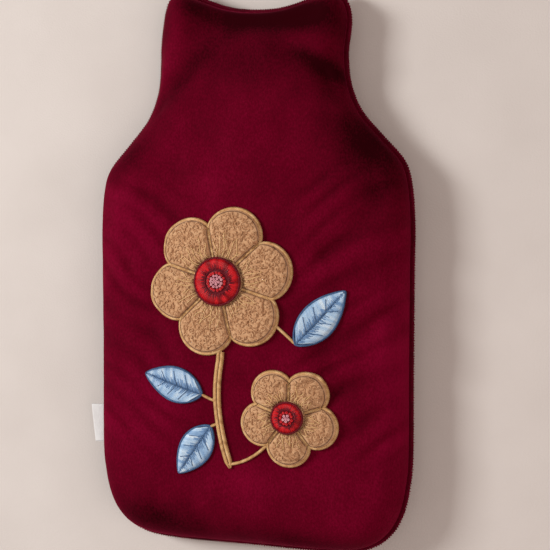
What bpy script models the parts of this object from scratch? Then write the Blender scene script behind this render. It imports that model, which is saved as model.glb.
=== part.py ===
"""Velvet hot water bottle cover, lying on its back with the front up. Units are metres, +Z up and +Y towards the neck.

The origin is on the resting face, on the cover's middle line. The hollow inside holds a 2-litre hot water bottle, which
goes in through the envelope opening where the two back panels overlap.
"""

import math

import bmesh
import bpy
import numpy as np
from mathutils import Matrix

MM = 0.001

# The cut of the cover: half of its outline in millimetres, from the bottom's middle round to the middle of the dip.
HALF_OUTLINE = (  # x, y
    (0, -173.4),
    (38, -173.6),
    (58, -173),
    (70, -171.5),
    (79, -168.4),
    (87, -163),
    (94, -154.5),
    (99, -143),
    (102, -129),
    (103.7, -111),
    (104, -60),
    (104.5, 0),
    (104.9, 30),
    (103.2, 55),
    (98.4, 71),
    (84.8, 87),
    (72, 102.5),
    (65.2, 119),
    (63.2, 136),
    (63.4, 156),
    (62.3, 169),
    (58, 178.3),
    (47.5, 182.6),
    (36, 178),
    (18, 172.2),
    (0, 170.5),
)
NECK_LEAN = 2.5 * MM  # the ears lean to the right
BOTTOM_DROP = 0.018  # the bottom edge slopes down to the right
TOP_DROP = 0.07  # so does the line through the ears
SPINE = 112 * MM  # half the length of the line that the panels' rows run out from

# The filled form, measured from the seam.
SEAM_HEIGHT = 12 * MM
FRONT_RISE = 25 * MM
NECK_RISE = 20 * MM
CROWN = 3 * MM
FRONT_ROLL = 36 * MM  # how far in from the edge the front reaches its full height
BACK_ROLL = 26 * MM
ROUNDNESS = 2.3  # 2 rolls over as an ellipse does, and more is squarer

CLOTH = 2.0 * MM
GAP = 0.3 * MM
RIM_GAP = 3.0 * MM  # between the front and back edges, which the seam binds
SEAM_WIDTH = 3.0 * MM
SEAM_THICKNESS = 3.0 * MM

# The envelope opening.
UPPER_HEM_Y = -20 * MM
LOWER_HEM_Y = 42 * MM
TUCK_LENGTH = 14 * MM  # the lower panel steps in over this length
TUCK_DEPTH = CLOTH + 2 * GAP
TUCK_INSET = 2.5 * MM  # the tucked end is this much narrower on each side

# Folds of the front: troughs have a negative depth and ridges a positive one. Each runs from (x0, y0) to (x1, y1), bowed
# sideways by bow, and its depth goes from depth0 to depth1. All in millimetres.
FOLDS = (  # x0, y0, x1, y1, bow, width, depth0, depth1
    (65, 114, 24, 140, -3, 7.5, -5.0, -2.0),
    (-60, 110, -16, 146, 0, 7.5, -3.5, -1.0),
    (62, 129, 28, 148, -2, 8, 2.5, 1.0),
    (64, 104, 37, 105, 0, 8, 1.5, 0.5),
    (-56, 128, -46, 158, -3, 8, 2.0, 1.5),
    (-30, 158, 36, 160, 2, 14, -4.0, -4.5),
    (90, 86, 70, 60, 0, 20, -4.0, -1.5),
    (-62, 48, -44, 40, 1, 9, -3.0, -1.8),
    (-72, 13, -60, 5, 1, 8, -2.2, -1.2),
    (86, 46, 57, 15, 3, 9, -2.4, -3.2),
    (94, 4, 63, -9, 2, 9, -2.3, -2.0),
    (94, -20, 52, -44, 3, 8.5, -2.0, -2.5),
    (97, -57, 68, -68, 2, 8.5, -2.0, -2.2),
    (-88, -16, -62, -34, 2, 9, -2.0, -1.5),
    (-98, -40, -68, -57, 3, 9, -2.5, -0.8),
)
FOLD_START = 9 * MM  # the folds die out this near the seam

# The applique.
FLEECE = 5.0 * MM
SATIN = 1.6 * MM
FLOWERS = (  # name, x, y, petals, radius, petal depth, turn in degrees, centre radius: all in millimetres
    ("large", -12, -4, 6, 47, 0.13, 12, 15),
    ("small", 32, -86, 5, 31, 0.15, -20, 10),
)
LEAVES = (  # name, base x, base y, tip x, tip y, width: all in millimetres
    ("leaf_upper", 36, -42, 66, -10, 21),
    ("leaf_lower", -19, -94, -40, -124, 20),
    ("leaf_side", -24, -74, -62, -62, 21),
)
STEM = ((-12, -53), (-18, -86), (-6, -119))  # its start, the point that it bends towards and its end
STEM_WIDTH = 5 * MM
APPLIQUE_GAP = 0.5 * MM

# The woven tab in the left seam.
LABEL_Y = -99 * MM
LABEL_LENGTH = 25 * MM
LABEL_REACH = 7 * MM
LABEL_FLARE = 2.7 * MM  # how much further its upper end reaches than its lower end
LABEL_THICKNESS = 1.2 * MM

# How finely the solids are divided.
BODY_ROWS = 31
NECK_ROWS = 28
SHOULDER_SHARE = 0.62  # where the rows get closer, as a share of the half outline
TUCK_ROWS = 4
FRONT_COLUMNS = (0, 0.11, 0.22, 0.33, 0.44, 0.55, 0.65, 0.74, 0.82, 0.89, 0.945, 0.985, 1)
BACK_COLUMNS = (0, 0.25, 0.5, 0.68, 0.8, 0.89, 0.95, 0.985, 1)

VELVET = (0.115, 0.0015, 0.012)
SEAM_THREAD = (0.07, 0.001, 0.008)
TAN_FLEECE = (0.55, 0.33, 0.16)
RED_SATIN = (0.50, 0.008, 0.012)
BLUE_SATIN = (0.30, 0.49, 0.71)
TAN_SATIN = (0.66, 0.42, 0.20)
WHITE_TAPE = (0.80, 0.79, 0.76)


def smooth_line(points, steps=40):
    """A smooth (Catmull-Rom) line through the points, mirrored past both its ends, which lie on x = 0."""
    p = np.array(points, float) * MM
    flip = np.array((-1, 1))
    p = np.vstack((p[1] * flip, p, p[-2] * flip))
    t = np.linspace(0, 1, steps, endpoint=False)[:, None]
    runs = [
        0.5 * (2 * b + (c - a) * t + (2 * a - 5 * b + 4 * c - d) * t**2 + (3 * b - a - 3 * c + d) * t**3)
        for a, b, c, d in zip(p, p[1:], p[2:], p[3:])
    ]
    return np.vstack((*runs, p[-2]))


def moved_in(line, by):
    """A line as far inside the half outline as the seam is wide. Its ends stay on x = 0."""
    along = np.gradient(line, axis=0)
    along /= np.linalg.norm(along, axis=1, keepdims=True)
    return line + np.stack((-along[:, 1], along[:, 0]), axis=-1) * by


SEAM_LINE = smooth_line(HALF_OUTLINE)
HALF_LINE = moved_in(SEAM_LINE, SEAM_WIDTH)
ROW_SHARES = np.concatenate((
    np.linspace(0, SHOULDER_SHARE, BODY_ROWS, endpoint=False),
    np.linspace(SHOULDER_SHARE, 1, NECK_ROWS + 1),
))
HALF_LENGTHS = np.concatenate(((0,), np.cumsum(np.linalg.norm(np.diff(HALF_LINE, axis=0), axis=1))))


def outline_at(share):
    """The right half of the outline, at shares of its length from the bottom's middle (0) to the dip's (1)."""
    along = np.asarray(share) * HALF_LENGTHS[-1]
    return np.interp(along, HALF_LENGTHS, HALF_LINE[:, 0]), np.interp(along, HALF_LENGTHS, HALF_LINE[:, 1])


def rows_between(start, end):
    """The panels' rows from start to end, shares of the outline's length, with a row at each of the two."""
    inner = ROW_SHARES[(ROW_SHARES > start + 0.004) & (ROW_SHARES < end - 0.004)]
    return np.concatenate(((start,), inner, (end,)))


def share_at_y(y):
    """Where the outline's straight side passes the height y, as a share of its length."""
    side = (HALF_LINE[:, 1] > -150 * MM) & (HALF_LINE[:, 1] < 150 * MM)
    return float(np.interp(y, HALF_LINE[side, 1], HALF_LENGTHS[side]) / HALF_LENGTHS[-1])


def settle(x, y):
    """Moves a point of the even cut to where the used cover has it, with its ears leaning and its ends sloping."""
    lean = NECK_LEAN * smoothstep((y - 140 * MM) / (30 * MM))
    bottom = BOTTOM_DROP * smoothstep((-90 * MM - y) / (60 * MM))
    top = TOP_DROP * smoothstep((y - 120 * MM) / (50 * MM))
    return x + lean, y - (bottom + top) * x


def smoothstep(t):
    t = np.clip(t, 0, 1)
    return t * t * (3 - 2 * t)


def edge_distance(x, y):
    """How far inside the outline a point is, rounded off where several edges are near."""
    length = HALF_LENGTHS[-1]
    count = 1000
    edge_x, edge_y = outline_at((np.arange(count) + 0.5) / count)
    edge_x = np.concatenate((edge_x, -edge_x))
    edge_y = np.concatenate((edge_y, edge_y))
    squares = (x[..., None] - edge_x) ** 2 + (y[..., None] - edge_y) ** 2
    nearest = np.sqrt(squares.min(-1))
    pull = (length / count / np.maximum(squares, MM**2) ** 2).sum(-1)
    rounded = (2 / math.pi * pull) ** (-1 / 3)
    return nearest + (rounded - nearest) * smoothstep((nearest - 1.5 * MM) / (4 * MM))


def bulge(t):
    t = np.clip(t, 0, 1)
    return (1 - (1 - t) ** ROUNDNESS) ** (1 / ROUNDNESS)


def front_height(x, y, rim=False):
    """Height of the front's outer face. rim marks the points on the outline itself."""
    inside = np.where(rim, 0, edge_distance(x, y))
    rise = FRONT_RISE + (NECK_RISE - FRONT_RISE) * smoothstep((y - 60 * MM) / (70 * MM))
    crown = CROWN * smoothstep((inside - FRONT_ROLL) / (45 * MM))
    return SEAM_HEIGHT + RIM_GAP / 2 + rise * bulge(inside / FRONT_ROLL) + crown


def back_height(x, y, rim=False):
    inside = np.where(rim, 0, edge_distance(x, y))
    return (SEAM_HEIGHT - RIM_GAP / 2) * (1 - bulge(inside / BACK_ROLL))


def fold_depth(x, y):
    """How far the folds push the front out at a point."""
    t = np.linspace(0, 1, 25)
    depth = np.zeros_like(x)
    for x0, y0, x1, y1, bow, width, depth0, depth1 in FOLDS:
        start, end = np.array((x0, y0)) * MM, np.array((x1, y1)) * MM
        along = end - start
        side = np.array((-along[1], along[0])) / np.linalg.norm(along) * bow * MM
        line = start + along * t[:, None] + side * (4 * t * (1 - t))[:, None]
        far = np.hypot(x[..., None] - line[:, 0], y[..., None] - line[:, 1])
        nearest = t[far.argmin(-1)]
        there = depth0 + (depth1 - depth0) * nearest
        depth += there * MM * np.exp(-((far.min(-1) / (width * MM)) ** 2))
    return depth * smoothstep(edge_distance(x, y) / FOLD_START)


def panel_points(shares, columns):
    """The even cut's points, a row for each share of the outline and a column for each share of the half width."""
    s = np.concatenate((-np.array(columns[:0:-1], float), columns))
    edge_x, edge_y = outline_at(shares)
    towards_ends = np.sin(np.clip(edge_y / SPINE, -math.pi / 2, math.pi / 2))
    spine_y = SPINE * (0.9 * towards_ends + 0.1 * (2 * np.asarray(shares) - 1))
    x = edge_x[:, None] * s
    y = spine_y[:, None] + (edge_y - spine_y)[:, None] * s**2
    rim = np.broadcast_to(np.abs(s) > 0.9999, x.shape)
    return x, y, rim


def outward(height, x, y, upwards):
    """The direction out of the cloth, square to a face that height(x, y) gives."""
    step = 0.2 * MM
    slope_x = (height(x + step, y) - height(x - step, y)) / (2 * step)
    slope_y = (height(x, y + step) - height(x, y - step)) / (2 * step)
    n = np.stack((-slope_x, -slope_y, np.ones_like(x)), axis=-1)
    return n / np.linalg.norm(n, axis=-1, keepdims=True) * (1 if upwards else -1)


def material(name, colour, roughness):
    made = bpy.data.materials.new(name)
    made.use_nodes = True
    shader = made.node_tree.nodes["Principled BSDF"]
    shader.inputs["Base Color"].default_value = (*colour, 1)
    shader.inputs["Roughness"].default_value = roughness
    shader.inputs["Metallic"].default_value = 0
    return made


def finished(name, mesh, collection, surface):
    mesh.update()
    mesh.shade_smooth()
    mesh.materials.append(surface)
    piece = bpy.data.objects.new(name, mesh)
    collection.objects.link(piece)
    return piece


def sheet_from(name, points, collection, surface, thickness, inwards=True, flip=False):
    """A sheet of cloth through a grid of points, as thick as the cloth."""
    rows, columns = points.shape[:2]
    shape = bmesh.new()
    grid = [[shape.verts.new(p) for p in row] for row in points]
    for i in range(rows - 1):
        for j in range(columns - 1):
            corners = (grid[i][j], grid[i][j + 1], grid[i + 1][j + 1], grid[i + 1][j])
            shape.faces.new(corners[::-1] if flip else corners)
    bmesh.ops.remove_doubles(shape, verts=shape.verts, dist=0.02 * MM)
    mesh = bpy.data.meshes.new(name)
    shape.to_mesh(mesh)
    shape.free()
    piece = finished(name, mesh, collection, surface)
    solid = piece.modifiers.new("cloth", "SOLIDIFY")
    solid.thickness = thickness
    solid.offset = -1 if inwards else 1
    return piece


def front_panel(collection, velvet):
    x, y, rim = panel_points(ROW_SHARES, FRONT_COLUMNS)
    z = front_height(x, y, rim)
    points = np.stack((*settle(x, y), z), axis=-1)
    points += outward(front_height, x, y, upwards=True) * np.where(rim, 0, fold_depth(x, y))[..., None]
    return sheet_from("front_panel", points, collection, velvet, CLOTH)


def back_panels(collection, velvet):
    hem = share_at_y(UPPER_HEM_Y)
    x, y, rim = panel_points(rows_between(hem, 1), BACK_COLUMNS)
    upper = np.stack((*settle(x, y), back_height(x, y, rim)), axis=-1)
    sheet_from("back_upper", upper, collection, velvet, CLOTH, flip=True)

    step_start = share_at_y(UPPER_HEM_Y - TUCK_LENGTH - 1 * MM)
    step_end = share_at_y(UPPER_HEM_Y - 1 * MM)
    shares = np.concatenate((
        rows_between(0, step_start),
        np.linspace(step_start, step_end, TUCK_ROWS + 1)[1:-1],
        rows_between(step_end, share_at_y(LOWER_HEM_Y)),
    ))
    x, y, rim = panel_points(shares, BACK_COLUMNS)
    tucked = smoothstep((shares - step_start) / (step_end - step_start))[:, None]
    x = x * (1 - tucked * TUCK_INSET / (104 * MM))
    lower = np.stack((*settle(x, y), back_height(x, y, rim & (tucked == 0))), axis=-1)
    lower -= outward(back_height, x, y, upwards=False) * (tucked * TUCK_DEPTH)[..., None]
    sheet_from("back_lower", lower, collection, velvet, CLOTH, flip=True)


def edge_seam(collection, thread):
    """The overlocked edge: a flat band that stands out all round the outline."""
    right_x, right_y = outline_at(ROW_SHARES)
    x = np.concatenate((right_x, -right_x[-2:0:-1]))
    y = np.concatenate((right_y, right_y[-2:0:-1]))
    x, y = settle(x, y)
    along = np.stack((np.roll(x, -1) - np.roll(x, 1), np.roll(y, -1) - np.roll(y, 1)), axis=-1)
    along /= np.linalg.norm(along, axis=-1, keepdims=True)
    outwards = np.stack((along[:, 1], -along[:, 0]), axis=-1)
    shape = bmesh.new()
    loops = [
        [
            shape.verts.new((px + nx * reach, py + ny * reach, SEAM_HEIGHT))
            for px, py, (nx, ny) in zip(x, y, outwards)
        ]
        for reach in (2 * GAP, SEAM_WIDTH)
    ]
    for i in range(len(x)):
        k = (i + 1) % len(x)
        shape.faces.new((loops[0][i], loops[1][i], loops[1][k], loops[0][k]))
    mesh = bpy.data.meshes.new("edge_seam")
    shape.to_mesh(mesh)
    shape.free()
    piece = finished("edge_seam", mesh, collection, thread)
    solid = piece.modifiers.new("thickness", "SOLIDIFY")
    solid.thickness = SEAM_THICKNESS
    solid.offset = 0
    return piece


def on_front(outline, rings):
    """Points of a flat shape laid on the front: rings from its middle out to its closed outline, in millimetres."""
    outline = np.array(outline, float) * MM
    middle = outline.mean(axis=0)
    shape = middle + (outline - middle) * np.array(rings)[:, None, None]
    x, y = shape[..., 0], shape[..., 1]
    z = front_height(x, y) + fold_depth(x, y) + APPLIQUE_GAP
    return np.stack((x, y, z), axis=-1)


def applique(name, outline, collection, surface, thickness, lift=0.0, rings=(0, 0.4, 0.75, 1)):
    points = on_front(outline, rings)
    points[..., 2] += lift
    shape = bmesh.new()
    loops = [[shape.verts.new(p) for p in ring] for ring in points]
    count = len(outline)
    for inner, outer in zip(loops, loops[1:]):
        for i in range(count):
            k = (i + 1) % count
            shape.faces.new((inner[i], outer[i], outer[k], inner[k]))
    bmesh.ops.remove_doubles(shape, verts=shape.verts, dist=0.02 * MM)
    mesh = bpy.data.meshes.new(name)
    shape.to_mesh(mesh)
    shape.free()
    piece = finished(name, mesh, collection, surface)
    solid = piece.modifiers.new("cloth", "SOLIDIFY")
    solid.thickness = thickness
    solid.offset = 1
    return piece


def flower_outline(x, y, petals, radius, depth, turn, steps):
    angles = np.arange(steps) * 2 * math.pi / steps
    lobes = np.abs(np.cos(petals * (angles - math.radians(turn)) / 2))
    reach = radius * (1 - depth * 2 * (1 - lobes**0.7))
    return np.stack((x + reach * np.cos(angles), y + reach * np.sin(angles)), axis=-1)


def leaf_outline(base_x, base_y, tip_x, tip_y, width, steps=9):
    base, tip = np.array((base_x, base_y), float), np.array((tip_x, tip_y), float)
    along = tip - base
    side = np.array((-along[1], along[0])) / np.linalg.norm(along)
    t = (1 - np.cos(np.linspace(0, math.pi, steps))) / 2
    half = width / 2 * np.sin(math.pi * t**0.85) ** 0.8
    right = base + along * t[:, None] - side * half[:, None]
    left = base + along * t[:, None] + side * half[:, None]
    return np.vstack((right, left[-2:0:-1]))


def stem(collection, surface):
    """A satin-stitched band laid on the front along a bowed line."""
    t = np.linspace(0, 1, 12)[:, None]
    start, bend, end = np.array(STEM, float) * MM
    middle = (1 - t) ** 2 * start + 2 * t * (1 - t) * bend + t**2 * end
    along = np.gradient(middle, axis=0)
    side = np.stack((along[:, 1], -along[:, 0]), axis=-1) / np.linalg.norm(along, axis=-1, keepdims=True)
    across = np.array((-0.5, 0, 0.5)) * STEM_WIDTH
    flat = middle[:, None] + side[:, None] * across[:, None]
    x, y = flat[..., 0], flat[..., 1]
    points = np.stack((x, y, front_height(x, y) + fold_depth(x, y) + APPLIQUE_GAP), axis=-1)
    return sheet_from("stem", points, collection, surface, SATIN, inwards=False)


def side_label(collection, tape):
    """A woven tape folded double, its two ends in the left seam."""
    share = share_at_y(LABEL_Y)
    edge_x, edge_y = outline_at(share)
    bpy.ops.mesh.primitive_cube_add(size=1)
    label = bpy.context.object
    label.name = label.data.name = "side_label"
    for old in list(label.users_collection):
        old.objects.unlink(label)
    collection.objects.link(label)
    label.data.transform(Matrix.Diagonal((LABEL_REACH, LABEL_LENGTH, LABEL_THICKNESS, 1)))
    for corner in label.data.vertices:
        if corner.co.x < 0:
            corner.co.x -= LABEL_FLARE * corner.co.y / LABEL_LENGTH
    label.data.materials.append(tape)
    label.location = (-edge_x - SEAM_WIDTH - 2 * GAP - LABEL_REACH / 2, edge_y, SEAM_HEIGHT)
    edge = label.modifiers.new("rounding", "BEVEL")
    edge.width = 0.4 * MM
    edge.segments = 2
    return label


def main():
    for old in list(bpy.data.objects):
        bpy.data.objects.remove(old, do_unlink=True)
    parts = bpy.data.collections.new("hot_water_bottle_cover")
    bpy.context.scene.collection.children.link(parts)
    velvet = material("velvet", VELVET, 0.85)
    front_panel(parts, velvet)
    back_panels(parts, velvet)
    edge_seam(parts, material("seam_thread", SEAM_THREAD, 0.9))
    fleece = material("fleece", TAN_FLEECE, 0.95)
    red = material("red_satin", RED_SATIN, 0.4)
    for name, x, y, petals, radius, depth, turn, centre in FLOWERS:
        outline = flower_outline(x, y, petals, radius, depth, turn, 10 * petals)
        applique("petals_" + name, outline, parts, fleece, FLEECE)
        disc = flower_outline(x, y, 1, centre, 0, 0, 20)
        applique("center_" + name, disc, parts, red, SATIN, lift=FLEECE + GAP, rings=(0, 0.5, 1))
    blue = material("blue_satin", BLUE_SATIN, 0.4)
    for name, *leaf in LEAVES:
        applique(name, leaf_outline(*leaf), parts, blue, SATIN)
    stem(parts, material("tan_satin", TAN_SATIN, 0.4))
    side_label(parts, material("white_tape", WHITE_TAPE, 0.7))


main()
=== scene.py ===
"""Velvet hot water bottle cover: the looks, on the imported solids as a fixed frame.

Units are metres, with +Z up and +Y towards the neck, and millimetres where a comment says so.
"""

import math

import bpy
import numpy as np
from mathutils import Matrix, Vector


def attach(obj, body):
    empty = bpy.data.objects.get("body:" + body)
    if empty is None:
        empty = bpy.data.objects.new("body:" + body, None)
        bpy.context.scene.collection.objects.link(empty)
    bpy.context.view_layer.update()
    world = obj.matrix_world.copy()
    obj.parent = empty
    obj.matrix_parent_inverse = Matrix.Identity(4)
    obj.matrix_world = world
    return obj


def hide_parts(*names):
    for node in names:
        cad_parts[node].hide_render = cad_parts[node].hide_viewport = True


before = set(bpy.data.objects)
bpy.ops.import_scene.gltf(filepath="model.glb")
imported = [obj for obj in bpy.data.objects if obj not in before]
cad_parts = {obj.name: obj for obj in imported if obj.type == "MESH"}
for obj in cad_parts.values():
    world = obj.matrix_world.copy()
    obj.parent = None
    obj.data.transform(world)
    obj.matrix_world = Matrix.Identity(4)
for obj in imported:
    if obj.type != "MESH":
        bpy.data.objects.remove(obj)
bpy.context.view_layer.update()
MM = 0.001
TURN = 2 * math.pi

# The camera of the photograph, fitted to the cover's outline.
FRAME_PIXELS = 550
FOCAL_PIXELS = 1000
SENSOR_MM = 36
CAMERA_TURN = math.radians(15.6)  # the camera stands this far to the cover's right
CAMERA_DISTANCE = 0.639
AIM_X = 15 * MM  # the picture's middle falls this far right of the cover's middle line

# The floor, and where the lamps aim.
FLOOR_REACH = 3.0
COVER_MIDDLE = Vector((0, 0, 0.02))

# The cut of the cover, as in the solids: half of the seam's outer edge in millimetres.
HALF_OUTLINE = (  # x, y
    (0, -173.4), (38, -173.6), (58, -173), (70, -171.5), (79, -168.4), (87, -163), (94, -154.5),
    (99, -143), (102, -129), (103.7, -111), (104, -60), (104.5, 0), (104.9, 30), (103.2, 55),
    (98.4, 71), (84.8, 87), (72, 102.5), (65.2, 119), (63.2, 136), (63.4, 156),
    (62.3, 169), (58, 178.3), (47.5, 182.6), (36, 178), (18, 172.2), (0, 170.5),
)
NECK_LEAN = 2.5 * MM
BOTTOM_DROP = 0.018
TOP_DROP = 0.07
SPINE = 112 * MM

SEAM_HEIGHT = 12 * MM
FRONT_RISE = 25 * MM
NECK_RISE = 20 * MM
CROWN = 3 * MM
FRONT_ROLL = 36 * MM
BACK_ROLL = 26 * MM
ROUNDNESS = 2.3
CLOTH = 2.0 * MM
VELVET_SHEET = 1.8 * MM  # the velvet's thickness here, a little under that of the solids
GAP = 0.3 * MM
RIM_GAP = 3.0 * MM
SEAM_WIDTH = 3.0 * MM

UPPER_HEM_Y = -20 * MM
LOWER_HEM_Y = 42 * MM
TUCK_LENGTH = 14 * MM
TUCK_DEPTH = CLOTH + 2 * GAP
TUCK_INSET = 2.5 * MM
TUCK_HALF_WIDTH = 104 * MM  # of the panel there
HEM_DEPTH = 14 * MM  # from the cloth's edge to the stitches that hold its hem

# The main folds, as in the solids, and below them the finer ones that only the cloth here has.
FOLDS = (  # x0, y0, x1, y1, bow, width, depth0, depth1: all in millimetres
    (65, 114, 24, 140, -3, 7.5, -5.0, -2.0),
    (-60, 110, -16, 146, 0, 7.5, -3.5, -1.0),
    (62, 129, 28, 148, -2, 8, 2.5, 1.0),
    (64, 104, 37, 105, 0, 8, 1.5, 0.5),
    (-56, 128, -46, 158, -3, 8, 2.0, 1.5),
    (-30, 158, 36, 160, 2, 14, -4.0, -4.5),
    (90, 86, 70, 60, 0, 20, -4.0, -1.5),
    (-62, 48, -44, 40, 1, 9, -3.0, -1.8),
    (-72, 13, -60, 5, 1, 8, -2.2, -1.2),
    (86, 46, 57, 15, 3, 9, -2.4, -3.2),
    (94, 4, 63, -9, 2, 9, -2.3, -2.0),
    (94, -20, 52, -44, 3, 8.5, -2.0, -2.5),
    (97, -57, 68, -68, 2, 8.5, -2.0, -2.2),
    (-88, -16, -62, -34, 2, 9, -2.0, -1.5),
    (-98, -40, -68, -57, 3, 9, -2.5, -0.8),
)
FINE_FOLDS = (  # the same columns
    (58, 136, 40, 143, -1, 3.5, -0.9, -0.4),
    (-40, 62, -22, 52, 1, 6, -0.7, -0.4),
    (52, 60, 34, 48, 2, 6, -0.7, -0.5),
    (78, 24, 56, 6, 2, 6, 0.7, 0.5),
    (84, -8, 60, -22, 2, 6, 0.7, 0.5),
    (88, -38, 64, -54, 2, 6, 0.7, 0.5),
    (84, -78, 66, -92, 2, 7, -0.6, -0.7),
    (-84, 22, -60, 14, 1, 7, -0.6, -0.4),
    (-82, -58, -60, -76, 2, 7, 0.6, 0.4),
    (-78, -84, -52, -100, 2, 7, -0.6, -0.5),
    (-44, -136, -26, -150, 1, 7, -0.5, -0.4),
    (20, -122, 34, -142, -1, 7, -0.6, -0.4),
)
FOLD_START = 9 * MM
FOLD_SPREAD = 60 * MM  # no fold is felt further away
RIPPLE_LENGTH = 15 * MM  # of the slanting creases on the cover's sides
RIPPLE_RISE = 0.75 * MM
RIPPLE_SLOPE = math.radians(33)

# Soft patches of painted shade (below 0) and painted light (above 0) on the front's pile, mostly shade about
# the neck, the shoulders and the bottom edge.
PAINTED_LIGHT_AND_SHADE_PATCHES = (  # x, y, reach along, reach across in millimetres, turn in degrees, change of tone
    (8, 165, 48, 10, -3, -0.46),
    (42, 168, 16, 9, 0, -0.26),
    (-37, 172, 10, 8, 0, -0.26),
    (62, 150, 17, 9, -35, -0.16),
    (18, 132, 40, 20, -8, -0.20),
    (54, 127, 22, 5, -33, -0.34),
    (-38, 127, 26, 7, 48, -0.14),
    (-57, 152, 8, 18, 0, -0.16),
    (22, 90, 18, 14, 0, -0.08),
    (82, 80, 34, 17, -52, -0.36),
    (60, 58, 16, 12, 0, -0.14),
    (93, 47, 16, 16, 0, -0.08),
    (-66, 84, 26, 12, 50, -0.20),
    (-82, 70, 22, 10, 48, -0.16),
    (-24, 54, 36, 14, 0, 0.10),
    (-72, 30, 20, 34, 0, 0.14),
    (94, -50, 15, 66, 0, 0.24),
    (-62, -92, 18, 18, 0, 0.12),
    (47, -121, 15, 12, 0, 0.22),
    (-56, -156, 44, 13, -10, -0.34),
    (40, -166, 46, 8, -4, -0.26),
    (8, -128, 34, 13, 0, 0.06),
)

# The applique, as in the solids. Its tables are in millimetres.
FLEECE = 5.0 * MM
FLOWERS = (  # name, x, y, petals, radius, half the dips' share of it, turn in degrees, centre radius
    ("large", -12, -4, 6, 47, 0.13, 12, 15),
    ("small", 32, -86, 5, 31, 0.15, -20, 10),
)
LEAVES = (  # name, base x, base y, tip x, tip y, width
    ("leaf_upper", 36, -42, 66, -10, 21),
    ("leaf_lower", -19, -94, -40, -124, 20),
    ("leaf_side", -24, -74, -62, -62, 21),
)
STEM = ((-12, -53), (-18, -86), (-6, -119))
STEM_TOP = (-11.6, -47.5)  # the thread goes on under the petals
STALKS = (  # thin lines of stitches: start, bend, end
    ((-14.5, -78), (-19, -77), (-24, -74)),
    ((-13.5, -92), (-16, -93), (-19, -94)),
    ((-7, -117), (7, -115.5), (19.2, -102.4)),
    ((23, -30.5), (31, -37), (36, -42)),
)
APPLIQUE_GAP = 0.5 * MM

LABEL_Y = -99 * MM
LABEL_LENGTH = 25 * MM
LABEL_REACH = 7 * MM
LABEL_FLARE = 2.7 * MM  # how much further its upper end reaches than its lower end
LABEL_THICKNESS = 1.2 * MM
LABEL_ROOT = 1.6 * MM  # how far in the tape starts, between the seam's threads
TAPE = 0.4 * MM  # the thickness of one layer of it

# The sewing.
OVERLOCK_PITCH = 1.6 * MM
OVERLOCK_THREAD = 0.35 * MM  # its radius, as for the next two
SATIN_THREAD = 0.28 * MM
HEM_THREAD = 0.3 * MM
HEM_STITCH = 3.2 * MM  # from one stitch of the hem to the next
SATIN_PITCH = 0.5  # from one satin stitch to the next, in millimetres
RUN_STEP = 0.9  # from one point of a single thread to the next, in millimetres
CURL_PITCH = 2.2  # from one tuft of the fleece to the next, in millimetres
KNOT_PITCH = 1.75  # from one ring of knots to the next, in millimetres


def smooth_line(points, steps=40):
    """A smooth (Catmull-Rom) line through the points, mirrored past both its ends, which lie on x = 0."""
    p = np.array(points, float) * MM
    flip = np.array((-1, 1))
    p = np.vstack((p[1] * flip, p, p[-2] * flip))
    t = np.linspace(0, 1, steps, endpoint=False)[:, None]
    runs = [
        0.5 * (2 * b + (c - a) * t + (2 * a - 5 * b + 4 * c - d) * t**2 + (3 * b - a - 3 * c + d) * t**3)
        for a, b, c, d in zip(p, p[1:], p[2:], p[3:])
    ]
    return np.vstack((*runs, p[-2]))


def unit(vectors):
    return vectors / np.maximum(np.linalg.norm(vectors, axis=-1, keepdims=True), 1e-12)


def stacked(*arrays):
    """Joins arrays along a new last axis."""
    return np.stack(arrays, axis=-1)


def heading(angles):
    """Steps of length 1 in these directions."""
    return stacked(np.cos(angles), np.sin(angles))


def left_of(steps):
    """Flat steps turned a quarter to their left."""
    return stacked(-steps[..., 1], steps[..., 0])


def lengths_along(line):
    """How far along a line each of its points lies."""
    return np.append(0, np.cumsum(np.linalg.norm(np.diff(line, axis=0), axis=1)))


def line_at(where, order, line):
    """The points of a line at these places in its order."""
    return stacked(*(np.interp(where, order, column) for column in line.T))


def moved_in(line, by):
    return line + left_of(unit(np.gradient(line, axis=0))) * by


HALF_LINE = moved_in(smooth_line(HALF_OUTLINE), SEAM_WIDTH)
HALF_LENGTHS = lengths_along(HALF_LINE)


def outline_at(share):
    """The outline's right half at shares of its length, from the bottom's middle (0) to the dip's (1)."""
    along = share * HALF_LENGTHS[-1]
    return tuple(np.interp(along, HALF_LENGTHS, column) for column in HALF_LINE.T)


def share_at_y(y):
    side = np.abs(HALF_LINE[:, 1]) < 150 * MM
    return float(np.interp(y, HALF_LINE[side, 1], HALF_LENGTHS[side]) / HALF_LENGTHS[-1])


def smoothstep(t):
    t = np.clip(t, 0, 1)
    return t * t * (3 - 2 * t)


def eased(value, start, reach):
    """Climbs softly from 0 to 1, from a start and over a reach in millimetres."""
    return smoothstep((value - start * MM) / (reach * MM))


def hill(t):
    """1 at 0, and softly down to 0 on both sides."""
    return np.exp(-(t**2))


def settle(x, y):
    """Moves a point of the even cut to where the cover has it, with leaning ears and sloping ends."""
    drop = BOTTOM_DROP * eased(-y, 90, 60) + TOP_DROP * eased(y, 120, 50)
    return x + NECK_LEAN * eased(y, 140, 30), y - drop * x


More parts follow.
